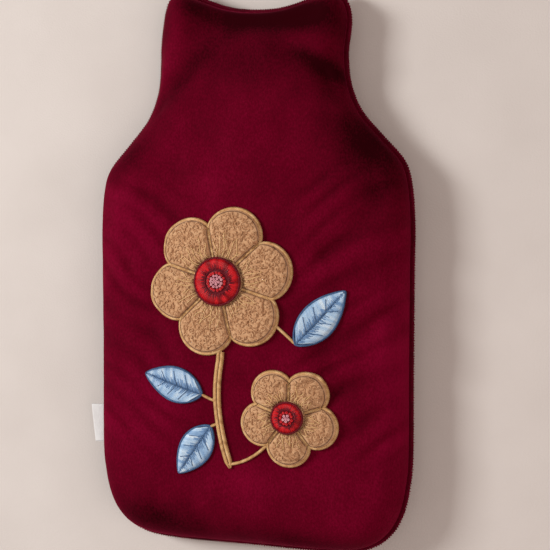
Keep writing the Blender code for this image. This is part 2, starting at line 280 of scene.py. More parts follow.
def edge_distance(x, y):
    """How far inside the outline a point is, rounded off where several edges are near."""
    count = 1000
    edge_x, edge_y = outline_at((np.arange(count) + 0.5) / count)
    edge_x, edge_y = np.append(edge_x, -edge_x), np.append(edge_y, edge_y)
    flat_x, flat_y = np.ravel(x), np.ravel(y)
    found = np.empty(len(flat_x))
    for start in range(0, len(flat_x), 4000):
        part = slice(start, start + 4000)
        squares = (flat_x[part, None] - edge_x) ** 2 + (flat_y[part, None] - edge_y) ** 2
        nearest = np.sqrt(squares.min(-1))
        pull = (HALF_LENGTHS[-1] / count / np.maximum(squares, MM**2) ** 2).sum(-1)
        rounded = (2 / math.pi * pull) ** (-1 / 3)
        found[part] = nearest + (rounded - nearest) * eased(nearest, 1.5, 4)
    return found.reshape(np.shape(x))


def bulge(t):
    t = np.clip(t, 0, 1)
    return (1 - (1 - t) ** ROUNDNESS) ** (1 / ROUNDNESS)


def front_height(inside, y):
    rise = FRONT_RISE + (NECK_RISE - FRONT_RISE) * eased(y, 60, 70)
    crown = CROWN * smoothstep((inside - FRONT_ROLL) / (45 * MM))
    return SEAM_HEIGHT + RIM_GAP / 2 + rise * bulge(inside / FRONT_ROLL) + crown


def back_height(inside):
    return (SEAM_HEIGHT - RIM_GAP / 2) * (1 - bulge(inside / BACK_ROLL))


def fold_depth(x, y, inside):
    """How far the folds push the cloth out at each point."""
    t = np.linspace(0, 1, 25)
    depth = np.zeros_like(x)
    for x0, y0, x1, y1, bow, width, depth0, depth1 in FOLDS + FINE_FOLDS:
        start, end = np.array(((x0, y0), (x1, y1))) * MM
        along = end - start
        side = left_of(unit(along)) * bow * MM
        line = start + along * t[:, None] + side * (4 * t * (1 - t))[:, None]
        low, high = line.min(axis=0) - FOLD_SPREAD, line.max(axis=0) + FOLD_SPREAD
        near = (x > low[0]) & (x < high[0]) & (y > low[1]) & (y < high[1])
        far = np.hypot(x[near][:, None] - line[:, 0], y[near][:, None] - line[:, 1])
        there = depth0 + (depth1 - depth0) * t[far.argmin(-1)]
        depth[near] += there * MM * hill(far.min(-1) / (width * MM))
    return depth * smoothstep(inside / FOLD_START)


def waves(x, y, length, seed, count=14):
    """Soft random unevenness, mostly between -1 and 1, whose waves are about this long."""
    chance = np.random.default_rng(seed)
    total = np.zeros_like(x)
    for _ in range(count):
        angle, phase = chance.uniform(0, TURN, 2)
        size = length * chance.uniform(0.7, 1.5)
        total += np.cos((x * math.cos(angle) + y * math.sin(angle)) * TURN / size + phase)
    return total * math.sqrt(2 / count) * 0.6


def ripple_height(x, y):
    """The creases of the cover's sides, which climb outwards: broad tops with narrower dips between them."""
    side = np.abs(x)
    across = y * math.cos(RIPPLE_SLOPE) - side * math.sin(RIPPLE_SLOPE)
    phase = across / RIPPLE_LENGTH * TURN + 1.8 * waves(x, y, 80 * MM, 5)
    where = eased(side, 22, 30) * eased(-y, -75, 30) * eased(y, -125, 30)
    patchy = where * (0.6 + 0.4 * np.clip(waves(x, y, 45 * MM, 6), -1, 1))
    return RIPPLE_RISE * (np.cos(phase) - 0.3 * np.cos(2 * phase)) * patchy


def front_relief(x, y, inside):
    """The front's folds, its soft unevenness and the slanting creases of its sides, out of the cloth."""
    soft = 1.0 * MM * waves(x, y, 62 * MM, 3) + 0.3 * MM * waves(x, y, 24 * MM, 4)
    return fold_depth(x, y, inside) + (soft + ripple_height(x, y)) * eased(inside, 0, 14)


def pile_tone(x, y, seed):
    """How light the pile looks, round 0.5: soft patches, as hands leave them."""
    return 0.5 + 0.035 * waves(x, y, 46 * MM, seed) + 0.02 * waves(x, y, 17 * MM, seed + 1)


def front_tone_with_painted_shade(x, y, relief):
    """How light the front's pile looks: its random patches, with painted light on the ridges of the folds
    and creases, painted shade in their troughs, and the painted light and shade of the patches.
    """
    tone = pile_tone(x, y, 11) + 0.035 * np.clip(relief / MM, -3, 2) + 0.07 * ripple_height(x, y) / MM
    for x0, y0, along, across, turn, change in PAINTED_LIGHT_AND_SHADE_PATCHES:
        cosine, sine = math.cos(math.radians(turn)), math.sin(math.radians(turn))
        u = ((x - x0 * MM) * cosine + (y - y0 * MM) * sine) / (along * MM)
        v = ((y - y0 * MM) * cosine - (x - x0 * MM) * sine) / (across * MM)
        tone = tone + change * np.exp(-(u * u + v * v))
    return tone


def panel_points(shares, columns):
    """The even cut's points: rows along the outline, and columns at shares of the half width."""
    s = np.append(-columns[:0:-1], columns)
    edge_x, edge_y = outline_at(shares)
    towards_ends = np.sin(np.clip(edge_y / SPINE, -math.pi / 2, math.pi / 2))
    spine_y = SPINE * (0.9 * towards_ends + 0.1 * (2 * shares - 1))
    x = edge_x[:, None] * s
    y = spine_y[:, None] + (edge_y - spine_y)[:, None] * s**2
    inside = edge_distance(x, y)
    inside[:, np.abs(s) > 0.9999] = 0
    return x, y, inside


def even_columns(count, rise, roll):
    """Shares of the half width that lie evenly along the cloth, which climbs steeply at its rim."""
    half_width = 100 * MM
    inside = half_width * np.linspace(0, 1, 4000) ** 3
    height = rise * bulge(inside / roll)
    along = np.append(0, np.cumsum(np.hypot(np.diff(inside), np.diff(height))))
    return 1 - np.interp(np.linspace(along[-1], 0, count), along, inside) / half_width


def numbered(*shape):
    return np.arange(math.prod(shape)).reshape(shape)


def grid_faces(index, flip=False):
    corners = (index[:-1, :-1], index[:-1, 1:], index[1:, 1:], index[1:, :-1])
    return stacked(*(corners[::-1] if flip else corners)).reshape(-1, 4)


def vertex_normals(points, faces):
    a, b, c, d = (points[faces[:, k]] for k in range(4))
    square = np.cross(c - a, d - b)
    total = np.zeros_like(points)
    for k in range(4):
        np.add.at(total, faces[:, k], square)
    return unit(total)


def add_object(name, data):
    made = bpy.data.objects.new(name, data)
    bpy.context.scene.collection.objects.link(made)
    return made


def piece_from(name, parts, surfaces, stands_for=()):
    """One object from parts: each its points, its faces, its surface's number and its points' tone."""
    points, tones, groups, numbers = [], [], [], []
    count = 0
    for part_points, part_faces, number, tone in parts:
        part_points = np.asarray(part_points).reshape(-1, 3)
        points.append(part_points)
        tones.append(np.broadcast_to(tone, len(part_points)))
        for group in part_faces:
            groups.append(np.asarray(group) + count)
            numbers.append(np.full(len(group), number))
        count += len(part_points)
    used = np.zeros(count, bool)
    for group in groups:
        used[group] = True
    place = np.cumsum(used) - 1
    faces = [face for group in groups for face in place[group].tolist()]
    mesh = bpy.data.meshes.new(name)
    mesh.from_pydata(np.concatenate(points)[used].tolist(), [], faces)
    mesh.polygons.foreach_set("material_index", np.concatenate(numbers))
    mesh.attributes.new("tone", "FLOAT", "POINT").data.foreach_set("value", np.concatenate(tones)[used])
    for surface in surfaces:
        mesh.materials.append(surface)
    mesh.update()
    mesh.shade_smooth()
    piece = add_object(name, mesh)
    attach(piece, "root")
    if stands_for:
        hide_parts(*stands_for)
    return piece


def thicken(piece, thickness, offset=-1):
    solid = piece.modifiers.new("cloth", "SOLIDIFY")
    solid.thickness = thickness
    solid.offset = offset


def strands(paths, radius, number=0, tone=0.5, up=(0, 0, 1), sides=5, flat=1.0):
    """Closed tubes along paths, each a row of points, with one tone for all, a path or a point."""
    paths = np.asarray(paths, float)
    count, steps = paths.shape[:2]
    along = unit(np.gradient(paths, axis=1))
    across = unit(np.cross(along, up))
    above = np.cross(across, along)
    turn = np.arange(sides) * TURN / sides
    ring = across[:, :, None] * np.cos(turn)[:, None] + above[:, :, None] * (np.sin(turn) * flat)[:, None]
    radius = np.broadcast_to(radius, (count, steps))[..., None, None]
    points = paths[:, :, None] + ring * radius
    index = numbered(count, steps, sides)
    after = np.roll(index, -1, axis=2)
    quads = stacked(index[:, :-1], index[:, 1:], after[:, 1:], after[:, :-1]).reshape(-1, 4)
    tone = np.asarray(tone, float)
    if tone.ndim == 1:
        tone = tone[:, None]
    tones = np.repeat(np.broadcast_to(tone, (count, steps)).ravel(), sides)
    return points.reshape(-1, 3), [quads, index[:, 0], index[:, -1, ::-1]], number, tones


def lathe_like(rings, number=0, tone=0.5):
    """A closed body from rings of points: from the middle of its top out, round its edge and in below."""
    count, steps = rings.shape[:2]
    index = numbered(count, steps)
    after = np.roll(index, -1, axis=1)
    quads = stacked(index[:-1], index[1:], after[1:], after[:-1]).reshape(-1, 4)
    top, bottom = count * steps, count * steps + 1
    points = np.vstack((rings.reshape(-1, 3), rings[0].mean(axis=0), rings[-1].mean(axis=0)))
    first = stacked(np.full(steps, top), index[0], after[0])
    last = stacked(np.full(steps, bottom), after[-1], index[-1])
    tones = np.append(np.broadcast_to(tone, (count, steps)).ravel(), (0.5, 0.5))
    return points, [quads, first, last], number, tones


def over_and_under(x, y, top, below, skip):
    """Rings for such a body: all of them over its top, and then only some back in along its underside."""
    return stacked(*(np.vstack((a, b[::-skip])) for a, b in ((x, x), (y, y), (top, below))))


def streaks(count, seed, spread=0.2):
    """Tones of threads side by side, round 0.5: each a little its own, and alike in bunches of a few."""
    chance = np.random.default_rng(seed).uniform(-1, 1, count + 4)
    bunched = np.convolve(chance, np.ones(5) / 2.6, "valid")
    return 0.5 + spread * (0.5 * chance[2:-2] + bunched)


# ---- materials ----


def feed(made, node, inputs):
    """Gives a node its inputs, by name or number: each is a value or another node's socket."""
    for key, given in inputs.items():
        if isinstance(given, bpy.types.NodeSocket):
            made.node_tree.links.new(given, node.inputs[key])
        else:
            node.inputs[key].default_value = given
    return node


def add_node(made, kind, inputs):
    return feed(made, made.node_tree.nodes.new("ShaderNode" + kind), inputs)


def object_place(made):
    return add_node(made, "TexCoord", {}).outputs["Object"]


def noise(made, size, detail=2.0, stretch=(1, 1, 1), roughness=0.5):
    """Noise over the object's own coordinates, with grains of about this size in metres."""
    placed = add_node(made, "Mapping", {"Vector": object_place(made), "Scale": stretch}).outputs["Vector"]
    inputs = {"Vector": placed, "Scale": 1 / size, "Detail": detail, "Roughness": roughness}
    return add_node(made, "TexNoise", inputs).outputs["Fac"]


def tone_of(made):
    """The tone that the mesh carries in its points."""
    node = add_node(made, "Attribute", {})
    node.attribute_name = "tone"
    return node.outputs["Fac"]


def mixed(made, shares):
    """A sum of sockets, each times its share."""
    total = 0
    for socket, share in shares:
        node = made.node_tree.nodes.new("ShaderNodeMath")
        node.operation = "MULTIPLY_ADD"
        total = feed(made, node, {0: socket, 1: share, 2: total}).outputs[0]
    return total


def ramp(made, factor, stops):
    """A colour that goes by a socket, through stops: each is a place from 0 to 1 and its colour."""
    node = add_node(made, "ValToRGB", {"Fac": factor})
    while len(node.color_ramp.elements) < len(stops):
        node.color_ramp.elements.new(0.5)
    for element, (place, colour) in zip(node.color_ramp.elements, stops):
        element.position = place
        element.color = (*colour, 1)
    return node.outputs["Color"]


def ranged(made, factor, low, high):
    """Noise spread over the range from low to high."""
    inputs = {"Value": factor, "From Min": 0.3, "From Max": 0.7, "To Min": low, "To Max": high}
    return add_node(made, "MapRange", inputs).outputs["Result"]


def coloured(made, colour, roughness, specular, sheen, sheen_roughness, tint):
    """Sets how a material's shader looks, all but its bumps."""
    inputs = {"Base Color": colour, "Roughness": roughness, "Specular IOR Level": specular}
    inputs |= {"Sheen Weight": sheen, "Sheen Roughness": sheen_roughness, "Sheen Tint": (*tint, 1)}
    feed(made, made.node_tree.nodes["Principled BSDF"], inputs)


def bumped(made, heights):
    """Bumps one after the other: each is a height's socket and its depth in metres."""
    normal = {}
    for height, depth in heights:
        node = add_node(made, "Bump", {"Strength": 1, "Distance": depth, "Height": height, **normal})
        normal = {"Normal": node.outputs["Normal"]}
    feed(made, made.node_tree.nodes["Principled BSDF"], normal)


def surface(name, stops, patch, roughness, grain, depth, sheen=0.0, tint=(1, 1, 1), specular=0.3, own=0.7):
    """Cloth or thread. Its colour goes by its tone, for the share own, and else by patches of this size."""
    made = bpy.data.materials.new(name)
    made.use_nodes = True
    tone = mixed(made, [(tone_of(made), own), (noise(made, patch, 3.0), 1 - own)])
    colour = ramp(made, tone, list(zip(np.linspace(0.2, 0.8, len(stops)).tolist(), stops)))
    rough = ranged(made, noise(made, patch * 0.6), roughness - 0.05, roughness + 0.05)
    coloured(made, colour, rough, specular, sheen, 0.4, tint)
    bumped(made, [(noise(made, grain, 1.5), depth)])
    return made


def sewn(name, stops, roughness, specular=0.3, patch=3 * MM):
    """Shiny sewing thread."""
    return surface(name, stops, patch, roughness, 0.3 * MM, 0.05 * MM, specular=specular)


def velvet_surface(name):
    """Short wine red pile, lighter and darker by the tone in its points, which on the front also carries
    painted light and shade, with a fine grain and a soft red sheen.
    """
    made = bpy.data.materials.new(name)
    made.use_nodes = True
    lying = (1, 0.6, 1)  # makes the pile's clumps longer along the cover
    grain = noise(made, 1.0 * MM, 1.0, lying)
    brushed = noise(made, 9 * MM, 4.0, lying, 0.6)
    pile_with_painted_shade = mixed(made, [(tone_of(made), 0.72), (grain, 0.3), (brushed, 0.09)])
    dark, middle, light = (0.024, 0.0001, 0.0020), (0.112, 0.0005, 0.0108), (0.235, 0.0020, 0.029)
    colour = ramp(made, pile_with_painted_shade, ((0.255, dark), (0.555, middle), (0.855, light)))
    rough = ranged(made, noise(made, 20 * MM), 0.8, 0.95)
    coloured(made, colour, rough, 0.02, 0.2, 0.35, (0.9, 0.025, 0.14))
    bumped(made, [(noise(made, 5 * MM, 2.0, lying), 0.15 * MM), (noise(made, 0.8 * MM, 1.0), 0.1 * MM)])
    return made


def woven_surface(name):
    """Bare white woven tape with fine ribs across it."""
    made = surface(name, ((0.79,) * 3, (0.90,) * 3), 3 * MM, 0.75, 0.5 * MM, 0.05 * MM, own=0.3)
    ribs = add_node(made, "TexWave", {"Vector": object_place(made), "Scale": 1 / (2.2 * MM)})
    ribs.bands_direction = "Y"
    bumped(made, [(ribs.outputs["Fac"], 0.12 * MM), (noise(made, 0.5 * MM, 1.0), 0.06 * MM)])
    return made


VELVET = velvet_surface("wine_velvet")
WINE = ((0.045, 0.0004, 0.0045), (0.130, 0.0012, 0.014), (0.21, 0.0035, 0.028))
THREAD = surface("wine_thread", WINE, 4 * MM, 0.7, 0.4 * MM, 0.08 * MM, 0.2, (0.85, 0.08, 0.25), 0.08)
# The fleece's tones; its darkest brown comes out mostly in the hollows between the clumps, as painted shade.
TEDDY = ((0.23, 0.112, 0.055), (0.52, 0.28, 0.145), (0.74, 0.47, 0.27))
FLEECE_TAN = surface("tan_fleece", TEDDY, 2.4 * MM, 0.95, 0.35 * MM, 0.16 * MM, 0.25, (1, 0.8, 0.6), 0.08)
GOLD = sewn("gold_tan_satin", ((0.42, 0.21, 0.085), (0.66, 0.40, 0.17), (0.82, 0.58, 0.30)), 0.42, 0.35)
BROWN = sewn("brown_thread", ((0.10, 0.045, 0.025), (0.24, 0.12, 0.07)), 0.5)
RED = sewn("red_satin_stitch", ((0.26, 0.003, 0.007), (0.58, 0.007, 0.014), (0.75, 0.022, 0.030)), 0.42)
DARK_RED = sewn("dark_red_stitch", ((0.09, 0.001, 0.006), (0.20, 0.003, 0.014)), 0.45)
PINK = sewn("pink_knots", ((0.60, 0.22, 0.27), (0.82, 0.42, 0.47)), 0.5, patch=2 * MM)
BLUE = sewn("light_blue_satin", ((0.20, 0.36, 0.60), (0.42, 0.60, 0.80), (0.68, 0.80, 0.90)), 0.38, 0.4)
MID_BLUE = sewn("mid_blue_satin", ((0.11, 0.22, 0.42), (0.24, 0.40, 0.63)), 0.4)
DEEP_BLUE = sewn("deep_blue_satin", ((0.035, 0.09, 0.21), (0.10, 0.20, 0.38)), 0.42)
WHITE_TAPE = woven_surface("white_tape_weave")


# ---- the velvet panels ----


def welded_index(shape, ends):
    """Grid numbers with these end rows folded on themselves, as their halves run along one line."""
    index = numbered(*shape)
    half = shape[1] // 2
    for row in ends:
        index[row, :half] = index[row, :half:-1]
    return index


def velvet_front():
    """The front panel, pushed out by its folds."""
    shares = np.linspace(0, 1, 300)
    x, y, inside = panel_points(shares, even_columns(67, FRONT_RISE, FRONT_ROLL))
    relief = front_relief(x, y, inside)
    faces = grid_faces(welded_index(x.shape, (0, -1)))
    flat = stacked(*settle(x, y), front_height(inside, y)).reshape(-1, 3)
    flat = flat + vertex_normals(flat, faces) * relief.reshape(-1, 1)
    # The tone carries painted light on the front's ridges and painted shade in its troughs and darker
    # patches.
    tone = front_tone_with_painted_shade(x, y, relief).ravel()
    piece = piece_from("velvet_front", [(flat, [faces], 0, tone)], [VELVET], ["front_panel"])
    thicken(piece, VELVET_SHEET)


def hem_stitches(y):
    """Straight stitches across the upper back panel, with short gaps between them."""
    x = np.linspace(-84, 84, 200) * MM
    y = np.full_like(x, y)
    line = stacked(x, y, back_height(edge_distance(x, y)) + 0.55 * MM)
    lengths = lengths_along(line)
    starts = np.arange(1.5 * MM, lengths[-1] - HEM_STITCH, HEM_STITCH)
    paths = line_at(starts[:, None] + np.linspace(0, 0.82, 5) * HEM_STITCH, lengths, line)
    paths[..., 2] -= np.array((-0.25, 0.12, 0.2, 0.12, -0.25)) * MM
    threads = strands(paths, HEM_THREAD, tone=streaks(len(paths), 9))
    piece_from("hem_stitches", [threads], [THREAD])


def back_sheet(name, node, shares, tucked, rim_tucked, hem_y):
    """A back panel, with a hem sewn near its straight edge. Where it is tucked it lies under the other."""
    x, y, inside = panel_points(shares, even_columns(40, SEAM_HEIGHT, BACK_ROLL))
    tuck = rim_tucked[:, None] + (tucked - rim_tucked)[:, None] * eased(inside, 1, 9)
    x = x * (1 - tuck * TUCK_INSET / TUCK_HALF_WIDTH)
    moved = edge_distance(x, y) * smoothstep(tuck * 20) + inside * smoothstep(1 - tuck * 20)
    z = back_height(np.where(tuck > 0, moved, inside))
    groove = 0.7 * MM * hill((y - hem_y) / (1.6 * MM)) * eased(inside, 0, 8)
    soft = 0.2 * MM * (1 + np.clip(waves(x, y, 40 * MM, 8), -1, 1)) * eased(inside, 8, 20)
    meeting = -1 if shares[0] > 0 else 0  # the end where the outline's two halves meet
    faces = grid_faces(welded_index(x.shape, (meeting,)), flip=True)
    flat = stacked(*settle(x, y), z).reshape(-1, 3)
    depth = tuck * TUCK_DEPTH + groove + soft
    flat = flat - vertex_normals(flat, faces) * depth.reshape(-1, 1)
    piece = piece_from(name, [(flat, [faces], 0, pile_tone(x, y, 15).ravel())], [VELVET], [node])
    thicken(piece, VELVET_SHEET)


def climb(shares, low, high):
    """From 0 to 1 between two heights on the outline, at shares of its length."""
    low, high = share_at_y(low), share_at_y(high)
    return smoothstep((shares - low) / (high - low))


def velvet_backs():
    """Both back panels. The lower one steps in under the upper one, at its rim in a short step."""
    shares = np.linspace(share_at_y(UPPER_HEM_Y), 1, 150)
    stitch_y = UPPER_HEM_Y + HEM_DEPTH
    none = 0 * shares
    back_sheet("velvet_back_upper", "back_upper", shares, none, none, stitch_y)
    rim = (UPPER_HEM_Y - 0.9 * MM, UPPER_HEM_Y - 0.1 * MM)
    even = np.linspace(0, share_at_y(LOWER_HEM_Y), 150)
    shares = np.sort(np.append(even, np.linspace(*map(share_at_y, rim), 7)))
    tucked = climb(shares, UPPER_HEM_Y - TUCK_LENGTH - 1 * MM, UPPER_HEM_Y - 1 * MM)
    under_y = LOWER_HEM_Y - HEM_DEPTH
    back_sheet("velvet_back_lower", "back_lower", shares, tucked, climb(shares, *rim), under_y)
    hem_stitches(stitch_y)


# ---- the overlocked edge ----


def seam_frame(count):
    """Points round the outline at even steps, and the directions out of it."""
    turn = np.arange(count) / count * 2
    x, y = outline_at(np.where(turn > 1, 2 - turn, turn))
    points = stacked(*settle(np.where(turn > 1, -x, x), y))
    return points, -left_of(unit(np.roll(points, -1, axis=0) - np.roll(points, 1, axis=0)))


def squared(wave, power):
    """A wave with squarer tops."""
    return np.sign(wave) * np.abs(wave) ** power


def seam_band():
    """The bound edges of the cloth: a flat band that starts between the panels."""
    count, sides = 600, 12
    centre, outwards = seam_frame(count)
    turn = np.linspace(0, TURN, sides, endpoint=False)
    reach = 0.85 * MM + 1.75 * MM * squared(np.cos(turn), 0.5)
    wavy = 0.08 * MM * np.sin(np.arange(count) / count * TURN * 97)
    band = np.empty((count, sides, 3))
    band[..., :2] = centre[:, None] + outwards[:, None] * (reach + wavy[:, None])[..., None]
    band[..., 2] = SEAM_HEIGHT + 1.05 * MM * squared(np.sin(turn), 0.6)
    index = numbered(count, sides)
    after, beside = np.roll(index, -1, axis=0), np.roll(index, -1, axis=1)
    quads = stacked(index, after, np.roll(after, -1, axis=1), beside).reshape(-1, 4)
    piece_from("seam_band", [(band, [quads], 0, 0.43)], [VELVET], ["edge_seam"])


def seam_overlock():
    """Two threads that wrap the band, one loop a stitch."""
    stitch_count = int(2 * HALF_LENGTHS[-1] / OVERLOCK_PITCH)
    steps = stitch_count * 10
    where = np.arange(steps) / 10
    centre, outwards = seam_frame(steps)
    round_it = np.column_stack((-left_of(outwards), np.zeros(steps)))
    round_it = np.vstack((round_it, round_it[:1]))[None]
    tone = np.interp(np.append(where, 0), np.arange(stitch_count), streaks(stitch_count, 22, 0.16))[None]
    chance = np.random.default_rng(21)
    parts = []
    for shift, thick, middle, wide in ((0, 1, 1.8, 1.05), (0.5, 0.75, 1.55, 0.8)):
        phase = (where + shift) * TURN
        loops = chance.uniform(-1, 1, stitch_count + 1)
        loose = 1 + 0.08 * np.interp(where, np.arange(stitch_count + 1), loops)
        reach = middle * MM + wide * MM * loose * squared(np.cos(phase), 0.75)
        path = np.empty((1, steps + 1, 3))
        path[0, :-1, :2] = centre + outwards * reach[:, None]
        path[0, :-1, 2] = SEAM_HEIGHT + 1.08 * MM * squared(np.sin(phase), 0.75)
        path[0, -1] = path[0, 0]
        parts.append(strands(path, OVERLOCK_THREAD * thick, tone=tone, up=round_it))
    piece_from("seam_overlock", parts, [THREAD])


# ---- the tab ----


def tape_tab():
    """A folded tape whose two ends lie in the seam. It flares towards its upper end."""
    edge_x, edge_y = outline_at(share_at_y(LABEL_Y))
    run = LABEL_REACH - 0.45 * MM
    half = (LABEL_THICKNESS - TAPE) / 2
    puffed = half * (1 + 0.35 * np.sin(np.linspace(0, math.pi, 14)))
    top = stacked(np.linspace(-LABEL_ROOT, run, 14), puffed)
    fold = (run, 0) + half * heading(np.linspace(math.pi / 2, -math.pi / 2, 9)[1:-1])
    line = np.vstack((top, fold, top[::-1] * (1, -1)))
    across = np.linspace(-0.5, 0.5, 30)
    u = line[:, 0][:, None] + 0 * across
    outer = np.maximum(u, 0) / LABEL_REACH
    x = -edge_x - SEAM_WIDTH - 2 * GAP - u - LABEL_FLARE * across * outer
    y = edge_y + across * LABEL_LENGTH + 0 * u
    z = SEAM_HEIGHT + line[:, 1][:, None] + 0.25 * MM * np.sin(across * 5 + 0.6) * outer**2
    faces = grid_faces(numbered(*u.shape))
    parts = [(stacked(x, y, z), [faces], 0, 0.5)]
    piece = piece_from("tape_tab", parts, [WHITE_TAPE], ["side_label"])
    thicken(piece, TAPE, 0)


# ---- the applique ----

MAP_X = np.arange(-82, 84) * MM
MAP_Y = np.arange(-146, 66) * MM


def front_map():
    x, y = np.meshgrid(MAP_X, MAP_Y)
    inside = edge_distance(x, y)
    return front_height(inside, y) + front_relief(x, y, inside)


FRONT_MAP = front_map()


def front_at(x, y):
    """The height of the velvet at points in metres."""
    places = ((x, MAP_X), (y, MAP_Y))
    column, row = (np.clip((at - axis[0]) / MM, 0, len(axis) - 1.001) for at, axis in places)
    i, j = row.astype(int), column.astype(int)
    a, b = row - i, column - j
    low, high = (FRONT_MAP[k, j] * (1 - b) + FRONT_MAP[k, j + 1] * b for k in (i, i + 1))
    return low * (1 - a) + high * a


def raised(base, flat, rise=0.0):
    """Points over flat ones in millimetres, at the base's height and this much more, in metres."""
    flat = flat * MM
    height = base(flat[..., 0], flat[..., 1]) + rise
    return np.concatenate((flat, height[..., None]), axis=-1)


def lifted(base, rise):
    """The base, this many millimetres higher."""
    return lambda x, y: base(x, y) + rise * MM


def on_velvet(x, y):
    return front_at(x, y) + APPLIQUE_GAP


def above(rise):
    """The velvet's height with the gap over it, and this many millimetres more."""
    return lifted(on_velvet, rise)


def along_line(line, pitch, closed=False):
    """Even steps along a line in millimetres: their points and the directions to the left and onwards."""
    line = np.asarray(line, float)
    if closed:
        line = np.vstack((line, line[:1]))
    lengths = lengths_along(line)
    steps = max(3, int(lengths[-1] / pitch))
    points = line_at(np.linspace(0, lengths[-1], steps, endpoint=not closed), lengths, line)
    if closed:
        onwards = unit(np.roll(points, -1, axis=0) - np.roll(points, 1, axis=0))
    else:
        onwards = unit(np.gradient(points, axis=0))
    return points, left_of(onwards), onwards


def stitches(starts, ends, base, rise, number, tone):
    """Arched satin stitches from starts to ends, in millimetres, over a base."""
    t = np.linspace(0, 1, 5)
    flat = starts[:, None] + (ends - starts)[:, None] * t[:, None]
    arch = rise * MM * np.sqrt(np.clip(4 * t * (1 - t), 0, 1))
    return strands(raised(base, flat, arch), SATIN_THREAD, number, tone, sides=4, flat=0.8)


def satin_line(line, width, rise, base, number, closed=False, slant=0.25, taper=0.0, tone=0.0):
    """A raised line of satin stitches over a padded core. It narrows over taper at its far end."""
    points, left, forward = along_line(line, SATIN_PITCH, closed)
    count = len(points)
    to_end = np.arange(count)[::-1] * SATIN_PITCH
    wide = width * (np.sqrt(np.clip((to_end + 0.3) / taper, 0, 1)) if taper else np.ones(count))[:, None]
    start = points - left * wide / 2 - forward * wide * slant
    end = points + left * wide / 2 + forward * wide * slant
    order = np.append(np.arange(count), 0) if closed else np.arange(count)
    core = np.maximum(wide[order, 0] / 2 - 0.05, 0.1) * MM
    path = raised(base, points[order], -0.1 * MM)[None]
    return [
        stitches(start, end, base, rise, number, streaks(count, count) + tone),
        strands(path, core, number, 0.45 + tone, sides=8, flat=rise / (width / 2) * 0.98),
    ]


def run_line(line, base, number, thread=0.22 * MM, tone=0.5):
    """One thread laid along a line in millimetres."""
    points, _, _ = along_line(line, RUN_STEP)
    return strands(raised(base, points)[None], thread, number, tone)


def lumps(x, y, size, seed):
    """Rounded clumps of about this size in metres: 1 on their tops and 0 between them."""
    table = np.random.default_rng(seed).uniform(0.12, 0.88, (64, 64, 2))
    u, v = x / size, y / size
    column, row = np.floor(u).astype(int), np.floor(v).astype(int)
    nearest = np.full(np.shape(x), 9.0)
    for i in (-1, 0, 1):
        for j in (-1, 0, 1):
            there = table[(column + i) % 64, (row + j) % 64]
            far = np.hypot(column + i + there[..., 0] - u, row + j + there[..., 1] - v)
            nearest = np.minimum(nearest, far)
    return np.sqrt(np.clip(1 - (nearest / 0.8) ** 2, 0, 1))


def fleece_clumps(x, y):
    """The curly clumps of the fleece, from 0 to 1, at points in metres."""
    bent_x = x + 0.9 * MM * waves(x, y, 6 * MM, 61)
    bent_y = y + 0.9 * MM * waves(x, y, 6 * MM, 62)
    return 0.7 * lumps(bent_x, bent_y, 3.4 * MM, 63) + 0.3 * lumps(bent_x, bent_y, 1.7 * MM, 64)


def flower_reach(angles, row):
    """How far from the flower's middle its edge lies in these directions, in millimetres."""
    petals, radius, depth, turn = row[3:7]
    lobes = np.abs(np.cos(petals * (angles - math.radians(turn)) / 2))
    return radius * (1 - depth * 2 * (1 - lobes**0.7))


def flower_ring(row):
    """Even directions round a flower, and how far its fleece reaches in each."""
    petals, radius = row[3:5]
    steps = int(radius * 9 / petals) * petals
    angles = np.arange(steps) * TURN / steps
    return angles, flower_reach(angles, row) - 0.6


def flower_places(x, y, row):
    """How far points are from the flower's middle, its edge and the lines between petals, in millimetres."""
    _, cx, cy, petals, _, _, turn, _ = row
    far = np.hypot(x - cx, y - cy)
    angles = np.arctan2(y - cy, x - cx)
    between = (angles - math.radians(turn)) * petals / TURN + 0.5
    to_line = np.abs(between - np.round(between)) * TURN / petals * far
    return far, flower_reach(angles, row) - far, to_line


def fleece_top(row):
    """The fleece's height in metres: puffed petals with sewn lines between them, and curly clumps."""
    centre = row[7]

    def top(x, y):
        far, inside, to_line = flower_places(x / MM, y / MM, row)
        puff = 1.3 + (FLEECE / MM - 2.3) * bulge((inside - 1.2) / 9)
        line = 1.9 * hill(to_line / 1.8) * smoothstep((far - centre) / 3)
        rim = 1.3 * hill((far - centre) / 2.0)
        curly = smoothstep((inside - 1.5) / 1.5) * smoothstep((to_line - 0.6) / 1.4)
        clumps = 1.25 * (fleece_clumps(x, y) - 0.5) * curly
        return on_velvet(x, y) + np.maximum(puff - line - rim + clumps, 0.7) * MM

    return top


